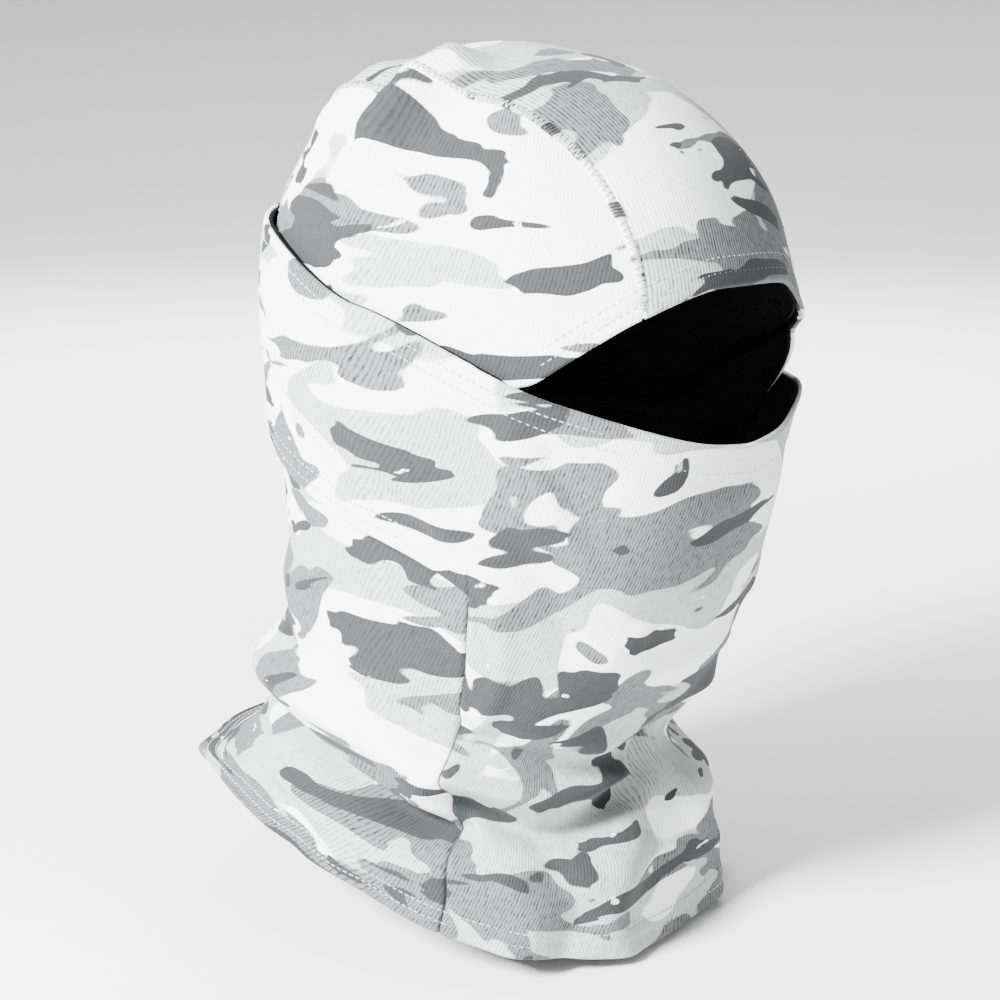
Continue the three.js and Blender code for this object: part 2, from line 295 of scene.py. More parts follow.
LEFT_FOLDS = [
    ([(30, 215), (46, 214)], 17, 6.5),
    ([(136, 98), (112, 86), (92, 70), (75, 62)], 13, 8.2),
    ([(134, 70), (110, 60), (90, 46), (74, 40)], 8, -6.6),
    ([(122, 124), (100, 112), (84, 108)], 9, 2.8),
    ([(0, 71), (24, 66), (46, 60), (68, 66)], 8, -6.0),
    ([(18, 46), (44, 38), (68, 46)], 9, 4.8),
    ([(22, 92), (48, 84), (67, 92)], 8, 4.0),
    ([(20, 0), (24, 18), (16, 36)], 9, 3.8),
    ([(54, 0), (50, 16), (56, 34)], 8, 3.8),
    ([(98, 0), (94, 16), (100, 28)], 10, 3.4),
    ([(62, 196), (46, 160), (26, 130)], 5, 1.8),
    ([(74, 190), (60, 154), (46, 124)], 6, -2.0),
    ([(116, 224), (94, 200), (78, 168)], 7, 2.0),
    ([(90, 184), (74, 158), (62, 136)], 5, 1.6),
    ([(160, 42), (176, 34), (190, 44)], 12, 4.0),
    ([(148, 150), (172, 142), (196, 152)], 9, 2.6),
]


def distance_to(p, line):
    """Distance from each point to a line of points."""
    best = np.full(p.shape[:-1], np.inf)
    for a, b in zip(line[:-1], line[1:]):
        d = b - a
        t = np.clip(((p - a) @ d) / (d @ d), 0, 1)
        best = np.minimum(best, np.linalg.norm(p - a - t[..., None] * d, axis=-1))
    return best


def curved_line(places):
    """The points of a fold, with more of them between those given."""
    places = np.array(places, float)
    turn = np.unwrap(places[:, 0], period=360)
    t = np.linspace(0, len(places) - 1, 9)
    pairs = np.arange(len(places))
    angle = profile(np.stack([pairs, turn], -1), t)
    height = profile(np.stack([pairs, places[:, 1]], -1), t)
    return around(angle, height * MM)


# Folds over the crown, as (plane x in mm, angle over the head), half width and height in mm
CROWN_FOLDS = [
    ([(-40, 83), (-50, 87), (-61, 92)], 10, 12.5),
    ([(-49, 95), (-62, 101)], 5, -3.0),
    ([(-42, 102), (-54, 109)], 12, 7.5),
    ([(42, 92), (54, 98)], 12, 4.0),
]


def crown_folds(p):
    """The peak and hollows where the hood folds beside its seams."""
    height = np.zeros(p.shape[:-1])
    for places, width, size in CROWN_FOLDS:
        line = np.array([over(x * MM, math.radians(a)) for x, a in places])
        height += size * MM * np.exp(-((distance_to(p, line) / (width * MM)) ** 2))
    return height


RIPPLE_COUNT = 9
RIPPLE_HEIGHT = 0.16 * MM


def ripples(p):
    """Slow unevenness of cloth that isn't pulled tight."""
    waves = np.random.default_rng(7).normal(size=(RIPPLE_COUNT, 3))
    waves /= np.linalg.norm(waves, axis=1, keepdims=True)
    lengths = np.linspace(24, 78, RIPPLE_COUNT) * MM
    phases = np.linspace(0, 5, RIPPLE_COUNT)
    height = np.zeros(p.shape[:-1])
    for wave, length, phase in zip(waves, lengths, phases):
        height += RIPPLE_HEIGHT * np.sin(p @ wave * 2 * math.pi / length + phase)
    return height


def relief(p):
    """Height of all folds and ripples above the base surface."""
    height = ripples(p) + crown_folds(p)
    for places, width, size in RIGHT_FOLDS + LEFT_FOLDS:
        away = distance_to(p, curved_line(places)) / (width * MM)
        height += size * MM * np.exp(-(away**2))
    return height


def rolled(distance, radius=1.5 * MM):
    """How far a turned edge rolls in, by distance from the edge."""
    left = np.clip(1 - distance / radius, 0, 1)
    return -radius * (1 - np.sqrt(1 - left**2))


def flare(angle, z):
    """The lower hem turns out a little, more so towards the back."""
    low = np.clip(1 - z / (16 * MM), 0, 1) ** 2
    return (1.2 + 2.6 * smoothstep(np.abs(angle), 60, 120)) * MM * low


HEM_RISE = 0.7 * MM
STITCH_DENT = 0.55 * MM
STITCH_DENT_HALF = 0.9 * MM


def hem_relief(distance):
    """A turned hem: a doubled band, drawn down along its two rows of stitches."""
    band = HEM_RISE * (1 - smoothstep(distance, HEM_DEPTH - 1.5 * MM, HEM_DEPTH + 0.5 * MM))
    for row in STITCH_ROWS:
        band = band - STITCH_DENT * np.exp(-(((distance - row) / STITCH_DENT_HALF) ** 2))
    return band + rolled(distance)


# ---- Meshes -----------------------------------------------------------------------------


def spaced(length, step=MESH_STEP):
    """Places from 0 to 1 along a length, closer together at both ends."""
    ends = np.array([0, 0.3, 0.7, 1.1, 1.6, 2.3, 3.2]) * MM
    count = max(int((length - 2 * ends[-1]) / step), 2)
    middle = np.linspace(ends[-1], length - ends[-1], count + 1)[1:-1]
    return np.concatenate([ends, middle, length - ends[::-1]]) / length


def new_object(name, vertices, faces, smooth=True):
    mesh = bpy.data.meshes.new(name)
    mesh.from_pydata(np.asarray(vertices).reshape(-1, 3).tolist(), [], faces)
    mesh.validate()
    mesh.shade_smooth() if smooth else mesh.shade_flat()
    piece = bpy.data.objects.new(name, mesh)
    bpy.context.scene.collection.objects.link(piece)
    return piece


def apply_modifiers(piece):
    depsgraph = bpy.context.evaluated_depsgraph_get()
    mesh = bpy.data.meshes.new_from_object(piece.evaluated_get(depsgraph))
    piece.modifiers.clear()
    piece.data = mesh


def thicken(piece, thickness):
    """Gives a single surface its thickness, inwards, as one closed body."""
    solid = piece.modifiers.new("thickness", "SOLIDIFY")
    solid.thickness = thickness
    solid.offset = -1
    solid.use_even_offset = False
    apply_modifiers(piece)
    piece.data.shade_smooth()


def grid_faces(ids, flip):
    """Four-sided faces between the neighbouring rows and columns of a grid of vertices."""
    a, b = ids[:-1, :-1], ids[:-1, 1:]
    c, d = ids[1:, 1:], ids[1:, :-1]
    order = (a, d, c, b) if flip else (a, b, c, d)
    return np.stack(order, -1).reshape(-1, 4).tolist()


def faces_out(vertices, faces):
    """True if the faces look away from the middle of the head."""
    quads = np.asarray(vertices)[np.asarray(faces)]
    normals = np.cross(quads[:, 2] - quads[:, 0], quads[:, 3] - quads[:, 1])
    middles = quads.mean(1) - HEAD_MIDDLE
    return (normals * middles).sum() > 0


def place_on(p, out):
    """Points at a height above the base surface, with the rear hem raised."""
    return raised(p + outward(p) * out[..., None])


def cloth_coordinates(piece, values):
    """Each vertex's place on the flat cloth, which the print and the knit follow."""
    attribute = piece.data.attributes.new("cloth", "FLOAT_VECTOR", "POINT")
    flat = np.asarray(values, np.float32).reshape(-1, 3)
    attribute.data.foreach_set("vector", flat.ravel())


def cloth_sheet(name, p, out, coordinates, ids, thickness):
    """One closed cloth piece from its base points, its height above them and its print.
    ids are the grids of vertices that its faces join; None is the one grid of p itself."""
    points = place_on(p, out).reshape(-1, 3)
    if ids is None:
        ids = [np.arange(p.shape[0] * p.shape[1]).reshape(p.shape[:2])]
    faces = [f for grid in ids for f in grid_faces(grid, False)]
    if not faces_out(points, faces):
        faces = [f for grid in ids for f in grid_faces(grid, True)]
    piece = new_object(name, points, faces)
    cloth_coordinates(piece, coordinates)
    thicken(piece, thickness)
    return piece


# ---- Cloth panels -----------------------------------------------------------------------

# Where each panel's print starts on the cloth it was cut from, in metres
PRINT_AT = {
    "crown_centre": (0.00, 0.00),
    "crown_side_right": (0.46, 0.10),
    "crown_side_left": (0.90, 0.35),
    "face_and_neck": (1.40, 0.20),
    "neck_back": (2.10, 0.55),
}
MEAN_RADIUS = 78 * MM


def print_on(start, across, along):
    """Places on the flat cloth, from a start on it."""
    flat = np.zeros(across.shape + (3,))
    flat[..., 0] = start[0] + across
    flat[..., 1] = start[1] + along
    return flat


def lined(name, make):
    """A cloth panel and the fleece behind it. make(sewn, free) returns the panel's base points,
    height, place on the cloth and vertex grids, with its edges moved out by sewn where they join
    other panels and by free elsewhere."""
    p, out, coordinates, ids = make(0, 0)
    panel = cloth_sheet(name, p, out + CLOTH, coordinates, ids, CLOTH)
    p, out, coordinates, ids = make(LINING_OVERLAP, -LINING_SETBACK)
    lining = cloth_sheet(f"{name}_lining", p, out - LINING_GAP, coordinates, ids, LINING)
    return panel, lining


def tucked(distance_inside):
    """A lining that runs on past a seam dips behind the seam's rolled edges."""
    return -LINING_TUCK * (1 - smoothstep(distance_inside, LINING_OVERLAP, 2.4 * LINING_OVERLAP))


def crown_centre_shape(sewn, free):
    half = CROWN_STRIP_HALF - 0.2 * MM + sewn
    x = (2 * spaced(2 * half) - 1) * half
    brow = brow_edge(brow_angle_at(x)) - free
    start = over_angle(x, brow, True)
    end = over_angle(x, np.full(x.shape, HOOD_LOW - sewn), False)
    v = spaced(330 * MM)[:, None]
    angle = start + (end - start) * v
    p = over(x[None, :], angle)
    radius = np.linalg.norm(p[..., 1:] - np.array([0, CROWN_CENTRE_Z]), axis=-1)
    from_brow = (angle - start) * radius
    from_seam = half - np.abs(x)[None, :] + 0 * angle
    out = relief(p) + hem_relief(from_brow)
    out += tucked(from_seam) if sewn else rolled(from_seam)
    across = x[None, :] + 0 * angle
    return p, out, print_on(PRINT_AT["crown_centre"], across, from_brow), None


def crown_centre():
    return lined("crown_centre_cloth", crown_centre_shape)


HOOD_FRONT_ANGLE = 33.5
HOOD_BACK_ANGLE = 145
WEB_SETBACK = 2.6 * MM  # how far the hood's cloth lies behind the cheek's


def hood_side_low(angle):
    """The hood's lower edge: along the brow, then hidden under the wing."""
    corner_angle, corner_height = BROW_EDGE[-1]
    under = smoothstep(np.abs(angle), corner_angle, 80)
    behind = corner_height * MM * (1 - under) + HOOD_LOW * under
    return np.where(np.abs(angle) <= corner_angle, brow_edge(angle), behind)


def corner_web(angle):
    """Where, on the slack left side, the hood runs on down behind the eye opening's corner."""
    return smoothstep(angle, WEB_START_ANGLE, WEB_FULL_ANGLE)


def crown_side(name, side, print_name):
    """A side of the hood; side is -1 on the wearer's right and 1 on the left."""

    def shape(sewn, free):
        span = HOOD_BACK_ANGLE - HOOD_FRONT_ANGLE
        angle = HOOD_FRONT_ANGLE + span * spaced(math.radians(span) * MEAN_RADIUS)
        under_wing = smoothstep(angle, BROW_EDGE[-1][0], BROW_EDGE[-1][0] + 6)
        hem = hood_side_low(side * angle)
        low = hem - free - sewn * under_wing
        low = np.minimum(low, low + (HOOD_LOW - sewn - low) * corner_web(side * angle))
        top = strip_height(angle) - 0.2 * MM
        v = spaced(110 * MM)[:, None]
        z = low + (top - low) * v
        p = around(side * angle[None, :] + 0 * z, z)
        from_brow = np.where(angle < BROW_EDGE[-1][0] + 4, z - hem, 30 * MM)
        out = relief(p) + hem_relief(from_brow) + rolled((top - z) * 1.4)
        out -= WEB_SETBACK * smoothstep(hem - z, 0, 3 * MM)
        out += tucked(z - low) * under_wing if sewn else 0
        arc = np.radians(side * angle[None, :] + 0 * z) * MEAN_RADIUS
        return p, out, print_on(PRINT_AT[print_name], arc, z), None

    return lined(name, shape)


WING_LINING_SHADOW_LINE = 0.1 * MM  # the fleece stands proud of the wing's top, so its black shows as a thin dark line: painted shadow of the gap where the wing meets the hood


def face_and_neck_shape(sewn, free):
    """The face panel, its wings and the neck front: one piece of cloth."""
    half = np.radians(SIDE_SEAM_ANGLE) * MEAN_RADIUS
    wing = np.radians(BACK_ANGLE - SIDE_SEAM_ANGLE) * MEAN_RADIUS
    front = SIDE_SEAM_ANGLE * (2 * spaced(2 * half) - 1)
    left_wing = SIDE_SEAM_ANGLE + (BACK_ANGLE - SIDE_SEAM_ANGLE) * spaced(wing)[1:]
    angle = np.concatenate([-left_wing[::-1], front, left_wing])
    low = face_low_edge(angle)
    low = np.where(np.abs(angle) > SIDE_SEAM_ANGLE, low - free, low)
    on_wing = smoothstep(np.abs(angle), 54, 66)
    top = face_top_edge(angle)
    # On the wings the black lining is raised into view: painted shadow along the top edge
    if sewn:
        top = top + free * (1 - on_wing) + WING_LINING_SHADOW_LINE * on_wing

    v = spaced(95 * MM)[:, None]
    face_z = low + (top - low) * v
    face_angle = angle[None, :] + 0 * face_z
    neck_columns = np.arange(len(left_wing), len(left_wing) + len(front))
    w = spaced(105 * MM)[:-1, None]
    neck_z = low[neck_columns] * w - free * (1 - w)
    neck_angle = front[None, :] + 0 * neck_z

    face_ids = np.arange(face_z.size).reshape(face_z.shape)
    neck_ids = face_z.size + np.arange(neck_z.size).reshape(neck_z.shape)
    joined = np.concatenate([neck_ids, face_ids[:1, neck_columns]])
    a = np.concatenate([face_angle.ravel(), neck_angle.ravel()])
    z = np.concatenate([face_z.ravel(), neck_z.ravel()])

    p = around(a, z)
    out = wing_lift(a, z) + relief(p) + hem_relief(face_top_edge(a) - z)
    is_wing = np.abs(a) > SIDE_SEAM_ANGLE + 0.1
    wing_low = hem_relief(z - face_low_edge(a))
    from_seam = (SIDE_SEAM_ANGLE - np.abs(a)) / 180 * math.pi * MEAN_RADIUS
    seam_top = face_low_edge(np.full(a.shape, SIDE_SEAM_ANGLE))
    pulled_in = rolled(np.maximum(from_seam, 0), SEAM_ROLL) * (z < seam_top)
    out += np.where(is_wing, wing_low, pulled_in + hem_relief(z) + flare(a, z))
    coordinates = print_on(PRINT_AT["face_and_neck"], np.radians(a) * MEAN_RADIUS, z)
    return p, out, coordinates, [face_ids, joined]


def face_and_neck():
    return lined("face_and_neck_cloth", face_and_neck_shape)


def meets_neck_front(from_seam, z):
    """The neck's back rises at the side seam to the cloth that turns up into the wing."""
    wing_rise = wing_lift(SIDE_SEAM_ANGLE, z) * (1 - smoothstep(z, 132 * MM, 142 * MM))
    return wing_rise * (1 - smoothstep(from_seam, 0, 12 * MM))


def neck_back_shape(sewn, free):
    """The neck's back, from one side seam to the other and up to the hood's lower edge."""
    span = 360 - 2 * SIDE_SEAM_ANGLE + 2 * math.degrees(sewn / MEAN_RADIUS)
    u = spaced(math.radians(span) * MEAN_RADIUS)
    angle = 180 - span / 2 + span * u
    v = spaced(HOOD_LOW)[:, None]
    top = hood_side_low((angle + 180) % 360 - 180) - MM
    z = top * v - free * (1 - v)
    a = angle[None, :] + 0 * z
    turned = (a + 180) % 360 - 180
    p = around(a, z)
    from_seam = np.minimum(u, 1 - u)[None, :] * math.radians(span) * MEAN_RADIUS + 0 * z
    out = relief(p) + hem_relief(z) + flare(turned, z) + meets_neck_front(from_seam, z)
    out += tucked(from_seam) if sewn else rolled(from_seam, SEAM_ROLL)
    coordinates = print_on(PRINT_AT["neck_back"], np.radians(a) * MEAN_RADIUS, z)
    return p, out, coordinates, None


def neck_back():
    return lined("neck_back_cloth", neck_back_shape)


# ---- Seams and stitches -----------------------------------------------------------------


def frame_along(points, normals):
    """Unit directions along and across a path that lies on the cloth."""
    along = np.gradient(points, axis=0)
    along /= np.linalg.norm(along, axis=1, keepdims=True)
    across = np.cross(normals, along)
    across /= np.linalg.norm(across, axis=1, keepdims=True)
    return along, across


def even_path(base, height):
    """A path on the cloth, with its normals and its running length."""
    normals = outward(base)
    points = place_on(base, height)
    steps = np.linalg.norm(np.diff(points, axis=0), axis=1)
    return points, normals, np.concatenate([[0], np.cumsum(steps)])


def sample(path, lengths):
    points, normals, running = path
    p = np.stack([np.interp(lengths, running, points[:, k]) for k in range(3)], -1)
    n = np.stack([np.interp(lengths, running, normals[:, k]) for k in range(3)], -1)
    return p, n / np.linalg.norm(n, axis=-1, keepdims=True)


def tube(points, radius, sides=6):
    """Vertices and faces of a closed tube along a line of points, narrower at its ends."""
    count = len(points)
    along = np.gradient(points, axis=0)
    along /= np.linalg.norm(along, axis=1, keepdims=True)
    side = np.cross(along, points - HEAD_MIDDLE)
    side /= np.linalg.norm(side, axis=1, keepdims=True)
    top = np.cross(side, along)
    taper = np.ones(count)
    taper[[0, -1]] = 0.35
    turns = np.arange(sides) * 2 * math.pi / sides
    ring = np.cos(turns)[:, None] * side[:, None] + np.sin(turns)[:, None] * top[:, None]
    vertices = (points[:, None] + radius * taper[:, None, None] * ring).reshape(-1, 3)
    faces = []
    for i in range(count - 1):
        for k in range(sides):
            following = (k + 1) % sides
            a, b = i * sides + k, i * sides + following
            faces.append([a, b, b + sides, a + sides])
    faces.append(list(range(sides))[::-1])
    faces.append([(count - 1) * sides + k for k in range(sides)])
    return vertices, faces


def joined_tubes(name, lines, radius):
    vertices, faces, start = [], [], 0
    for line in lines:
        v, f = tube(line, radius)
        vertices.append(v)
        faces += [[i + start for i in face] for face in f]
        start += len(v)
    return new_object(name, np.concatenate(vertices), faces)


STITCH_PITCH = 2.7 * MM
STITCH_LENGTH = 2.1 * MM
THREAD = 0.26 * MM
CLOSING_THREAD = 0.55 * MM
ZIGZAG_THREAD = 0.2 * MM
TACK_THREAD = 0.4 * MM
PATH_POINTS = 700


def stitch_row(name, base, height):
    """Separate lockstitches: each rises out of the cloth, lies on it and goes back in."""
    path = even_path(base, height)
    total = path[2][-1]
    lines = []
    for start in np.arange(0, total - STITCH_LENGTH, STITCH_PITCH):
        t = np.linspace(0, 1, 6)
        p, n = sample(path, start + t * STITCH_LENGTH)
        rise = (np.sin(t * math.pi) ** 0.5 * 0.42 - 0.22) * MM
        lines.append(p + n * rise[:, None])
    return joined_tubes(name, lines, THREAD)


def edge_rows(name, edge, start, end, side, lift):
    """The two rows of stitches along a hem; side is 1 above the edge and -1 below it."""
    made = []
    angle = np.linspace(start, end, PATH_POINTS)
    for label, distance in zip(("outer", "inner"), STITCH_ROWS):
        z = edge(angle) + side * distance
        base = around(angle, z)
        height = CLOTH + relief(base) + lift(angle, z) + hem_relief(np.full(z.shape, distance))
        made.append(stitch_row(f"{name}_{label}_row", base, height))
    return made


def no_lift(angle, z):
    return 0 * z


CROWN_SEAM_SHOWN = 0.8  # the rest of it is under the wings
CROWN_SEAM_POINTS = 900
SEAM_START_TURN = 0.008  # the seam starts this angle, in radians, behind the brow's edge


def crown_seam_base(side):
    x = side * CROWN_STRIP_HALF
    brow = brow_edge(brow_angle_at(np.array(x)))
    start = over_angle(x, brow, True) + SEAM_START_TURN
    end = over_angle(x, np.array(HOOD_LOW), False)
    shown = start + (end - start) * CROWN_SEAM_SHOWN
    angles = np.linspace(start, shown, CROWN_SEAM_POINTS)
    return over(np.full(CROWN_SEAM_POINTS, x), angles)


SEAM_HALF = 1.9 * MM
SEAM_HEIGHT = 1.15 * MM
SEAM_SUNK = 0.5 * MM
SEAM_UNDERSIDE = 0.9 * MM
SEAM_STEP = 0.9 * MM
SEAM_PUCKER = 0.14 * MM
ZIGZAG_PITCH = 2.2 * MM
TACK_SPACING = 1.15 * MM
TACK_THREADS = 5
CROWN_TACKS = (0.13, 0.27)  # shares of the way along the seam
SIDE_TACKS = (0.80, 0.94)


def raised_seam(name, path, print_start):
    """A raised flat seam: a rounded band of folded cloth along a path."""
    lengths = np.arange(0, path[2][-1], SEAM_STEP)
    p, n = sample(path, lengths)
    across = frame_along(p, n)[1]
    pucker = SEAM_PUCKER * np.sin(lengths * 2 * math.pi / STITCH_PITCH)
    section = np.linspace(-1, 1, 9)
    height = SEAM_HEIGHT * (1 - np.abs(section) ** 3) - SEAM_SUNK
    height = height[None, :] + pucker[:, None] * (1 - section**2)
    wide = across[:, None] * (section * SEAM_HALF)[None, :, None]
    upper = p[:, None] + wide + n[:, None] * height[..., None]
    under = p[:, None] + wide[:, ::-1] - n[:, None] * SEAM_UNDERSIDE
    ring = np.concatenate([upper, under], axis=1)
    count, sides = ring.shape[:2]
    ids = np.arange(count * sides).reshape(count, sides)
    wrapped = np.concatenate([ids, ids[:, :1]], axis=1)
    faces = grid_faces(wrapped, False)
    faces.append(ids[0].tolist())
    faces.append(ids[-1][::-1].tolist())
    piece = new_object(name, ring, faces)
    print_x = np.broadcast_to(section * SEAM_HALF, (count, len(section)))
    print_x = np.concatenate([print_x, print_x[:, ::-1]], axis=1)
    print_y = np.repeat(lengths[:, None], sides, axis=1)
    cloth_coordinates(piece, print_on(print_start, print_x, print_y))
    return piece


def crown_seam_path(side):
    base = crown_seam_base(side)
    return even_path(base, CLOTH + relief(base))


def wing_seam_path():
    """Up the middle of the back, between the two wings' hems."""
    z = np.linspace(face_low_edge(180), face_top_edge(180), 200)[2:-2]
    angle = np.full(z.shape, 180.0)
    base = around(angle, z)
    return even_path(base, CLOTH + relief(base) + wing_lift(angle, z))


def seam_zigzag(name, path):
    """The cover stitch: a thread that runs from side to side across the seam."""
    lengths = np.arange(2 * MM, path[2][-1] - 2 * MM, ZIGZAG_PITCH / 8)
    p, n = sample(path, lengths)
    across = frame_along(p, n)[1]
    swing = 2 / math.pi * np.arcsin(0.98 * np.sin(lengths * 2 * math.pi / ZIGZAG_PITCH))
    rise = SEAM_HEIGHT * (1 - 0.85 * np.abs(swing) ** 3) - 0.3 * MM
    line = p + across * (swing * SEAM_HALF * 0.95)[:, None] + n * rise[:, None]
    return joined_tubes(name, [line], ZIGZAG_THREAD)


def seam_tacks(name, path, shares):
    """Short dark bar tacks across the seam, a few threads side by side."""
    lines = []
    for share in shares:
        for k in range(TACK_THREADS):
            at = share * path[2][-1] + k * TACK_SPACING
            p, n = sample(path, np.array([at, at + 0.1 * MM]))
            along, across = frame_along(p, n)
            t = np.linspace(-1, 1, 8)
            rise = SEAM_HEIGHT * (1 - 0.8 * np.abs(t) ** 3) + 0.05 * MM
            lean = t * 0.5 * MM
            lines.append(
                p[0]
                + across[0] * (t * SEAM_HALF * 1.1)[:, None]
                + along[0] * lean[:, None]
                + n[0] * rise[:, None]
            )
    return joined_tubes(name, lines, TACK_THREAD)


def side_seam(name, side):
    """The thread that closes the neck, deep between its rolled edges, and its bar tacks. The
    closing thread is near black: partly the thread, partly painted shadow along the seam's valley.
    """
    z = np.linspace(6 * MM, face_low_edge(SIDE_SEAM_ANGLE) - 6 * MM, 260)
    angle = np.full(z.shape, side * SIDE_SEAM_ANGLE)
    base = around(angle, z)
    height = relief(base) + flare(angle, z) + wing_lift(angle, z) * 0.4 - 0.5 * MM
    closing = joined_tubes(name, [place_on(base, height)], CLOSING_THREAD)
    over_seam = even_path(base, height - 0.1 * MM)
    return closing, seam_tacks(f"{name}_tacks", over_seam, SIDE_TACKS)


# ---- Materials --------------------------------------------------------------------------


class Nodes:
    """A short way to add and join shader nodes."""

    def __init__(self, name):
        self.material = bpy.data.materials.new(name)
        self.material.use_nodes = True
        self.tree = self.material.node_tree
        self.shader = self.tree.nodes["Principled BSDF"]

    def add(self, kind, inputs=(), **settings):
        node = self.tree.nodes.new(kind)
        for key, value in settings.items():
            setattr(node, key, value)
        for key, value in dict(inputs).items():
            self.put(node.inputs[key], value)
        return node

    def put(self, socket, value):
        if isinstance(value, bpy.types.NodeSocket):
            self.tree.links.new(value, socket)
        else:
            socket.default_value = value

    def math(self, operation, a, b):
        node = self.add("ShaderNodeMath", operation=operation)
        self.put(node.inputs[0], a)
        self.put(node.inputs[1], b)
        return node.outputs[0]

    def blend(self, share, under, upper):
        node = self.add("ShaderNodeMix", data_type="RGBA")
        self.put(node.inputs[0], share)
        self.put(node.inputs[6], under)
        self.put(node.inputs[7], upper)
        return node.outputs[2]


WHITE = (0.88, 0.92, 0.895, 1)
PALE_GREY = (0.43, 0.47, 0.455, 1)
MID_GREY = (0.128, 0.146, 0.148, 1)
DARK_GREY = (0.020, 0.025, 0.027, 1)
# Near black, painted into the knit's grooves as painted shade
GROOVE_SHADE_COLOUR = (0.007, 0.008, 0.009, 1)


def blobs(n, place, size, cover, seed, extra=0.0):
    """A mask of smooth-edged islands on the cloth: more of them as cover goes down or extra,
    which may vary over the cloth, goes up."""
    mapping = n.add("ShaderNodeMapping", {"Vector": place})
    mapping.inputs["Location"].default_value = (seed * 1.37, seed * 2.71, seed)
    mapping.inputs["Rotation"].default_value = (0, 0, math.radians(-9))
    mapping.inputs["Scale"].default_value = (1 / size[0], 1 / size[1], 1)
    noise = n.add("ShaderNodeTexNoise", {"Vector": mapping.outputs[0]}, noise_dimensions="3D")
    noise.inputs["Scale"].default_value = 1
    noise.inputs["Detail"].default_value = 2.2
    noise.inputs["Roughness"].default_value = 0.5
    noise.inputs["Distortion"].default_value = 0.55
    ramp = n.add("ShaderNodeValToRGB", {"Fac": n.math("ADD", noise.outputs[0], extra)})
    ramp.color_ramp.elements[0].position = cover
    ramp.color_ramp.elements[1].position = cover + 0.006
    return ramp.outputs[0]


def knit_height(n, place, rib):
    """Slanted strokes of a brushed knit, or upright ribs, about 1.3 mm apart; their height also
    places the painted shade in their grooves.
    """
    mapping = n.add("ShaderNodeMapping", {"Vector": place})
    mapping.inputs["Rotation"].default_value = (0, 0, math.radians(2 if rib else 17))
    wave = n.add("ShaderNodeTexWave", {"Vector": mapping.outputs[0]}, wave_type="BANDS")
    wave.bands_direction = "X"
    wave.inputs["Scale"].default_value = 250
    wave.inputs["Distortion"].default_value = 0.8 if rib else 2.6
    wave.inputs["Detail"].default_value = 2
    wave.inputs["Detail Scale"].default_value = 2.2
    breaks = n.add("ShaderNodeTexNoise", {"Vector": place})
    breaks.inputs["Scale"].default_value = 420
    breaks.inputs["Detail"].default_value = 2
    return n.math("MULTIPLY", wave.outputs["Fac"], n.math("MULTIPLY", breaks.outputs[0], 1.5))


# Size of the printed islands, wide and high, in metres
PALE_SIZE = (0.066, 0.037)
MID_SIZE = (0.050, 0.026)
DARK_SIZE = (0.040, 0.0175)
SPOT_SIZE = (0.016, 0.009)
MID_COVER = 0.575
SPOT_COVER = 0.72

# The neck is greyer, partly its own print and partly painted shade where less light reaches the
# neck: how much more of each grey, and over what height it fades
EXTRA_PALE = 0.11
EXTRA_MID = 0.075
EXTRA_DARK = 0.02
GREY_ZONE_FADE = 0.022
FACE_GREY_BELOW = 0.285
NECK_BACK_GREY_BELOW = 0.60


def greyer_and_shaded_below(n, place, height):
    """1 on the part of a cloth below a height, fading to 0 above it: where the greyer print and the
    painted shade of the neck go.
    """
    flat = n.add("ShaderNodeSeparateXYZ", {"Vector": place})
    zone = n.add("ShaderNodeMapRange", {"Value": flat.outputs["Y"]})
    zone.inputs["From Min"].default_value = height + GREY_ZONE_FADE
    zone.inputs["From Max"].default_value = height - GREY_ZONE_FADE
    return zone.outputs[0]


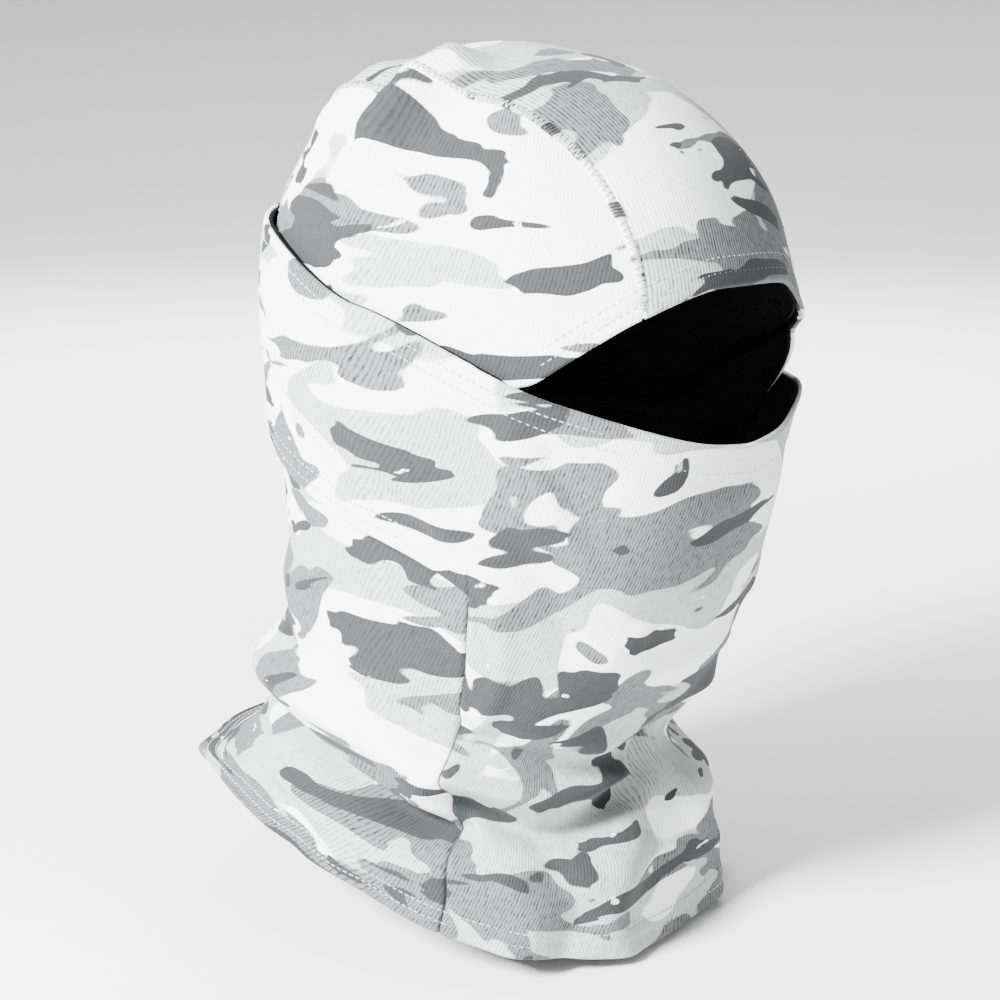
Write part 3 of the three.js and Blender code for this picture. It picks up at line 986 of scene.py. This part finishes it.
def camo_knit(name, seed, rib=False, dark_cover=0.60, pale_cover=0.54, grey_below=0.0):
    """A knit with a generic snow camouflage: greys on white, with islands inside islands.
    Below grey_below on its cloth the print is greyer, partly painted shade of the neck. At 0, only
    the crown's brow is, a little."""
    n = Nodes(name)
    place = n.add("ShaderNodeAttribute", attribute_name="cloth").outputs["Vector"]
    # The grey zone: partly print, partly painted shade of the neck
    zone = greyer_and_shaded_below(n, place, grey_below)
    more_pale = n.math("MULTIPLY", zone, EXTRA_PALE)
    more_mid = n.math("MULTIPLY", zone, EXTRA_MID)
    more_dark = n.math("MULTIPLY", zone, EXTRA_DARK)
    pale = blobs(n, place, PALE_SIZE, pale_cover, seed, more_pale)
    mid = blobs(n, place, MID_SIZE, MID_COVER, seed + 3.1, more_mid)
    dark = blobs(n, place, DARK_SIZE, dark_cover, seed + 7.7, more_dark)
    spots = blobs(n, place, SPOT_SIZE, SPOT_COVER, seed + 11.3)
    knit = knit_height(n, place, rib)

    colour = n.blend(pale, WHITE, PALE_GREY)
    colour = n.blend(mid, colour, MID_GREY)
    colour = n.blend(dark, colour, DARK_GREY)
    colour = n.blend(spots, colour, WHITE)

    # Painted shade in the grooves between the knit's strokes, deeper on the printed greys
    printed = n.math("MAXIMUM", n.math("MAXIMUM", n.math("MULTIPLY", pale, 0.5), mid), dark)
    groove_shade_depth = n.math("ADD", printed, 0.3 if rib else 0.14)
    groove_shade_mask = n.math("MULTIPLY", n.math("POWER", knit, 1.8), groove_shade_depth)
    colour = n.blend(groove_shade_mask, colour, GROOVE_SHADE_COLOUR)

    fibre = n.add("ShaderNodeTexNoise", {"Vector": place})
    fibre.inputs["Scale"].default_value = 1500
    fibre.inputs["Detail"].default_value = 4
    height = n.math("ADD", n.math("MULTIPLY", knit, 1.3), n.math("MULTIPLY", fibre.outputs[0], 0.5))
    bump = n.add("ShaderNodeBump", {"Height": height})
    bump.inputs["Strength"].default_value = 0.32
    bump.inputs["Distance"].default_value = 0.25 * MM

    n.put(n.shader.inputs["Base Color"], colour)
    n.put(n.shader.inputs["Normal"], bump.outputs[0])
    rough = n.add("ShaderNodeMapRange", {"Value": fibre.outputs[0]})
    rough.inputs["To Min"].default_value = 0.78
    rough.inputs["To Max"].default_value = 0.95
    n.put(n.shader.inputs["Roughness"], rough.outputs[0])
    n.shader.inputs["Sheen Weight"].default_value = 0.05
    n.shader.inputs["Sheen Roughness"].default_value = 0.5
    return n.material


def fleece():
    """Black brushed fleece, a little tufted."""
    n = Nodes("black_fleece")
    place = n.add("ShaderNodeAttribute", attribute_name="cloth").outputs["Vector"]
    pile = n.add("ShaderNodeTexVoronoi", {"Vector": place})
    pile.inputs["Scale"].default_value = 700
    tufts = n.add("ShaderNodeTexNoise", {"Vector": place})
    tufts.inputs["Scale"].default_value = 260
    tufts.inputs["Detail"].default_value = 5
    colour = n.blend(tufts.outputs[0], (0.0035, 0.0035, 0.004, 1), (0.011, 0.011, 0.012, 1))
    height = n.math("ADD", pile.outputs["Distance"], tufts.outputs[0])
    bump = n.add("ShaderNodeBump", {"Height": height})
    bump.inputs["Distance"].default_value = 0.6 * MM
    bump.inputs["Strength"].default_value = 0.7
    n.put(n.shader.inputs["Base Color"], colour)
    n.put(n.shader.inputs["Normal"], bump.outputs[0])
    n.shader.inputs["Roughness"].default_value = 1
    n.shader.inputs["Specular IOR Level"].default_value = 0.05
    return n.material


def thread(name, dark, light):
    """Spun thread: fine slanted plies, with painted shade darker between them."""
    n = Nodes(name)
    place = n.add("ShaderNodeTexCoord").outputs["Object"]
    plies = n.add("ShaderNodeTexWave", {"Vector": place}, wave_type="BANDS")
    plies.bands_direction = "DIAGONAL"
    plies.inputs["Scale"].default_value = 900
    plies.inputs["Distortion"].default_value = 1.5
    # Darker between the plies: painted shade
    n.put(n.shader.inputs["Base Color"], n.blend(plies.outputs["Fac"], dark, light))
    bump = n.add("ShaderNodeBump", {"Height": plies.outputs["Fac"]})
    bump.inputs["Distance"].default_value = 0.08 * MM
    n.put(n.shader.inputs["Normal"], bump.outputs[0])
    n.shader.inputs["Roughness"].default_value = 0.62
    n.shader.inputs["Sheen Weight"].default_value = 0.2
    return n.material


# ---- Putting the mask together ----------------------------------------------------------


def finish_piece(piece, material, nodes=()):
    """Gives a piece its material and slot, and hides the CAD nodes it is shown instead of."""
    piece.data.materials.clear()
    piece.data.materials.append(material)
    if nodes:
        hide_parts(*nodes)


def ride_hood(piece):
    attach(piece, "hood")


def follow_face(piece):
    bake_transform(piece)


# The doubled bands that the face panel's own edges turn into
FACE_HEMS = ["face_panel_top_hem", "wing_low_hem_right", "wing_low_hem_left"]


def build_panels():
    """The five cloth pieces of the mask, each with its lining."""
    black = fleece()
    # panel and lining, printed cloth, CAD nodes it stands for, follower, flat size, flat area
    panels = [
        (
            crown_centre(),
            # pale_cover 0.47 gives the crown strip more pale grey: partly print, partly painted
            # shade over the crown
            camo_knit("camo_crown", 2.4, rib=True, pale_cover=0.47),
            ["crown_centre_panel", "brow_hem"],
            ride_hood,
            (0.100, 0.340),
            0.033,
        ),
        (
            crown_side("crown_side_right_cloth", -1, "crown_side_right"),
            camo_knit("camo_side_right", 5.2, dark_cover=0.575, pale_cover=0.60),
            ["crown_side_panel_right"],
            ride_hood,
            (0.170, 0.135),
            0.0188,
        ),
        (
            crown_side("crown_side_left_cloth", 1, "crown_side_left"),
            camo_knit("camo_side_left", 8.6),
            ["crown_side_panel_left"],
            ride_hood,
            (0.170, 0.135),
            0.0188,
        ),
        (
            face_and_neck(),
            # Below FACE_GREY_BELOW the neck front is greyer: partly print, partly painted shade
            camo_knit("camo_face", 13.5, dark_cover=0.59, grey_below=FACE_GREY_BELOW),
            ["face_panel", "neck_front_panel", *FACE_HEMS],
            follow_face,
            (0.520, 0.280),
            0.074,
        ),
        (
            neck_back(),
            # Lower covers and a grey zone over the whole neck's back: partly print, partly painted
            # shade of the neck
            camo_knit(
                "camo_neck_back",
                19.1,
                dark_cover=0.585,
                pale_cover=0.50,
                grey_below=NECK_BACK_GREY_BELOW,
            ),
            ["neck_back_panel", "bottom_hem"],
            ride_hood,
            (0.340, 0.195),
            0.060,
        ),
    ]
    for (panel, lining), camo, nodes, follow, flat, area in panels:
        finish_piece(panel, camo, nodes)
        backed = [f"{node}_lining" for node in nodes if "hem" not in node]
        finish_piece(lining, black, backed)
        for piece in (panel, lining):
            follow(piece)


def build_seams():
    """The raised crown seams, the neck's side seams and the seam between the wings."""
    pale_thread = thread("pale_thread", (0.42, 0.44, 0.43, 1), (0.74, 0.76, 0.75, 1))
    dark_thread = thread("dark_thread", (0.004, 0.004, 0.005, 1), (0.016, 0.017, 0.018, 1))
    seam_cloth = camo_knit("camo_seam", 2.4)
    print_x, print_y = PRINT_AT["crown_centre"]
    for side, name in ((-1, "right"), (1, "left")):
        path = crown_seam_path(side)
        start = (print_x + side * CROWN_STRIP_HALF, print_y)
        seam = raised_seam(f"crown_seam_{name}_ridge", path, start)
        finish_piece(seam, seam_cloth, [f"crown_seam_{name}"])
        zigzag = seam_zigzag(f"crown_seam_{name}_thread", path)
        finish_piece(zigzag, pale_thread)
        tacks = seam_tacks(f"crown_seam_{name}_tacks", path, CROWN_TACKS)
        finish_piece(tacks, dark_thread)
        closing, closing_tacks = side_seam(f"side_seam_{name}_thread", side)
        # Near-black thread in the neck seam's valley: partly thread, partly painted shadow of the
        # valley
        finish_piece(closing, dark_thread, [f"side_seam_{name}"])
        finish_piece(closing_tacks, dark_thread)
        for piece in (seam, zigzag, tacks, closing, closing_tacks):
            ride_hood(piece)

    path = wing_seam_path()
    seam = raised_seam("wing_back_seam_ridge", path, PRINT_AT["neck_back"])
    finish_piece(seam, seam_cloth, ["wing_back_seam"])
    zigzag = seam_zigzag("wing_back_seam_thread", path)
    finish_piece(zigzag, pale_thread)
    for piece in (seam, zigzag):
        follow_face(piece)


BROW_STITCH_END = 56
WING_STITCH_START = 82
HEM_STITCH_END = 179.9


def build_stitches():
    """The two rows of stitches along each hem."""
    material = thread("hem_thread", (0.33, 0.35, 0.345, 1), (0.52, 0.545, 0.535, 1))
    side, back, hem = BROW_STITCH_END, BACK_ANGLE, HEM_STITCH_END
    hood_rows = edge_rows("brow_stitching", brow_edge, -side, side, 1, no_lift)
    face_rows = edge_rows("face_top_stitching", face_top_edge, -back, back, -1, wing_lift)
    hem_rows = edge_rows("bottom_hem_stitching", bottom_edge, -hem, hem, 1, flare)
    wing_rows = []
    for side, name in ((-1, "right"), (1, "left")):
        row_name = f"wing_low_stitching_{name}"
        start, end = side * WING_STITCH_START, side * BACK_ANGLE
        wing_rows += edge_rows(row_name, face_low_edge, start, end, 1, wing_lift)

    for rows, cad_name in ((hood_rows, "brow"), (face_rows, "face_top"), (hem_rows, "bottom_hem")):
        for row, label in zip(rows, ("outer", "inner")):
            finish_piece(row, material, [f"{cad_name}_stitches_{label}_row"])
    for row in wing_rows:
        finish_piece(row, material)
    for row in hood_rows + hem_rows:
        ride_hood(row)
    for row in face_rows + wing_rows:
        follow_face(row)


# ---- Camera, floor and light ------------------------------------------------------------


def add_camera():
    """At the photograph's angle: in front of the wearer's right and a little above."""
    azimuth = math.radians(-52)
    away, high, look_at = 0.70, 0.30, 0.156
    data = bpy.data.cameras.new("camera")
    data.sensor_width = 36
    data.lens = 66.6
    camera = bpy.data.objects.new("camera", data)
    camera.location = (math.sin(azimuth) * away, -math.cos(azimuth) * away, high)
    tilt = math.atan2(high - look_at, away)
    camera.rotation_euler = (math.pi / 2 - tilt, 0, azimuth)
    bpy.context.scene.collection.objects.link(camera)
    bpy.context.scene.camera = camera


FLOOR_FLAT = 3.5  # radius of its flat part, its whole radius and how far it rises, in metres
FLOOR_EDGE = 9
FLOOR_RISE = 1.6


def add_floor():
    """A round pale floor that sweeps up a little far away, so it shows no edge."""
    turns = np.radians(np.arange(0, 360, 5))
    places = []
    for radius in [0.5, 2, FLOOR_FLAT, *np.linspace(4, FLOOR_EDGE, 11)]:
        rise = FLOOR_RISE * smoothstep(radius, FLOOR_FLAT, FLOOR_EDGE)
        places += [(radius * math.cos(t), radius * math.sin(t), rise) for t in turns]
    ids = np.arange(len(places)).reshape(-1, len(turns))
    wrapped = np.concatenate([ids, ids[:, :1]], axis=1)
    faces = [ids[0].tolist(), *grid_faces(wrapped, True)]
    floor = new_object("floor", places, faces)
    floor.location.z = CAD_BOX[0][2] - 1.5 * MM
    n = Nodes("floor_paper")
    n.shader.inputs["Base Color"].default_value = (0.93, 0.93, 0.93, 1)
    n.shader.inputs["Roughness"].default_value = 0.9
    floor.data.materials.append(n.material)


def add_light(name, place, size, power, target=(0, 0, 0.17)):
    """A square area light at a place, in metres, turned towards its target."""
    data = bpy.data.lights.new(name, "AREA")
    data.size = size
    data.energy = power
    light = bpy.data.objects.new(name, data)
    direction = np.array(target) - np.array(place)
    flat = math.hypot(direction[0], direction[1])
    light.location = place
    light.rotation_euler = (
        math.pi / 2 + math.atan2(direction[2], flat),
        0,
        math.atan2(direction[1], direction[0]) - math.pi / 2,
    )
    bpy.context.scene.collection.objects.link(light)


def add_world():
    """Soft white surroundings, dimmer above and in front of the wearer's left."""
    world = bpy.data.worlds.new("studio")
    world.use_nodes = True
    tree = world.node_tree
    direction = tree.nodes.new("ShaderNodeTexCoord").outputs["Generated"]
    towards = tree.nodes.new("ShaderNodeVectorMath")
    towards.operation = "DOT_PRODUCT"
    towards.inputs[1].default_value = (0.62, -0.62, 0.48)
    tree.links.new(direction, towards.inputs[0])
    strength = tree.nodes.new("ShaderNodeMapRange")
    strength.inputs["From Min"].default_value = -1
    strength.inputs["To Min"].default_value = 1.4
    strength.inputs["To Max"].default_value = 0.05
    tree.links.new(towards.outputs["Value"], strength.inputs["Value"])
    background = tree.nodes["Background"]
    tree.links.new(strength.outputs[0], background.inputs["Strength"])
    background.inputs["Color"].default_value = (1, 1, 1, 1)
    bpy.context.scene.world = world


def add_studio():
    add_light("key", (-1.25, 0.18, 0.95), 0.4, 165)
    add_light("fill", (-0.80, -1.20, 0.45), 1.2, 8)
    add_light("background", (1.00, 0.80, 1.70), 1.5, 200, target=(2.3, 1.8, 0))
    add_world()


add_camera()
add_floor()
add_studio()
build_panels()
build_seams()
build_stitches()
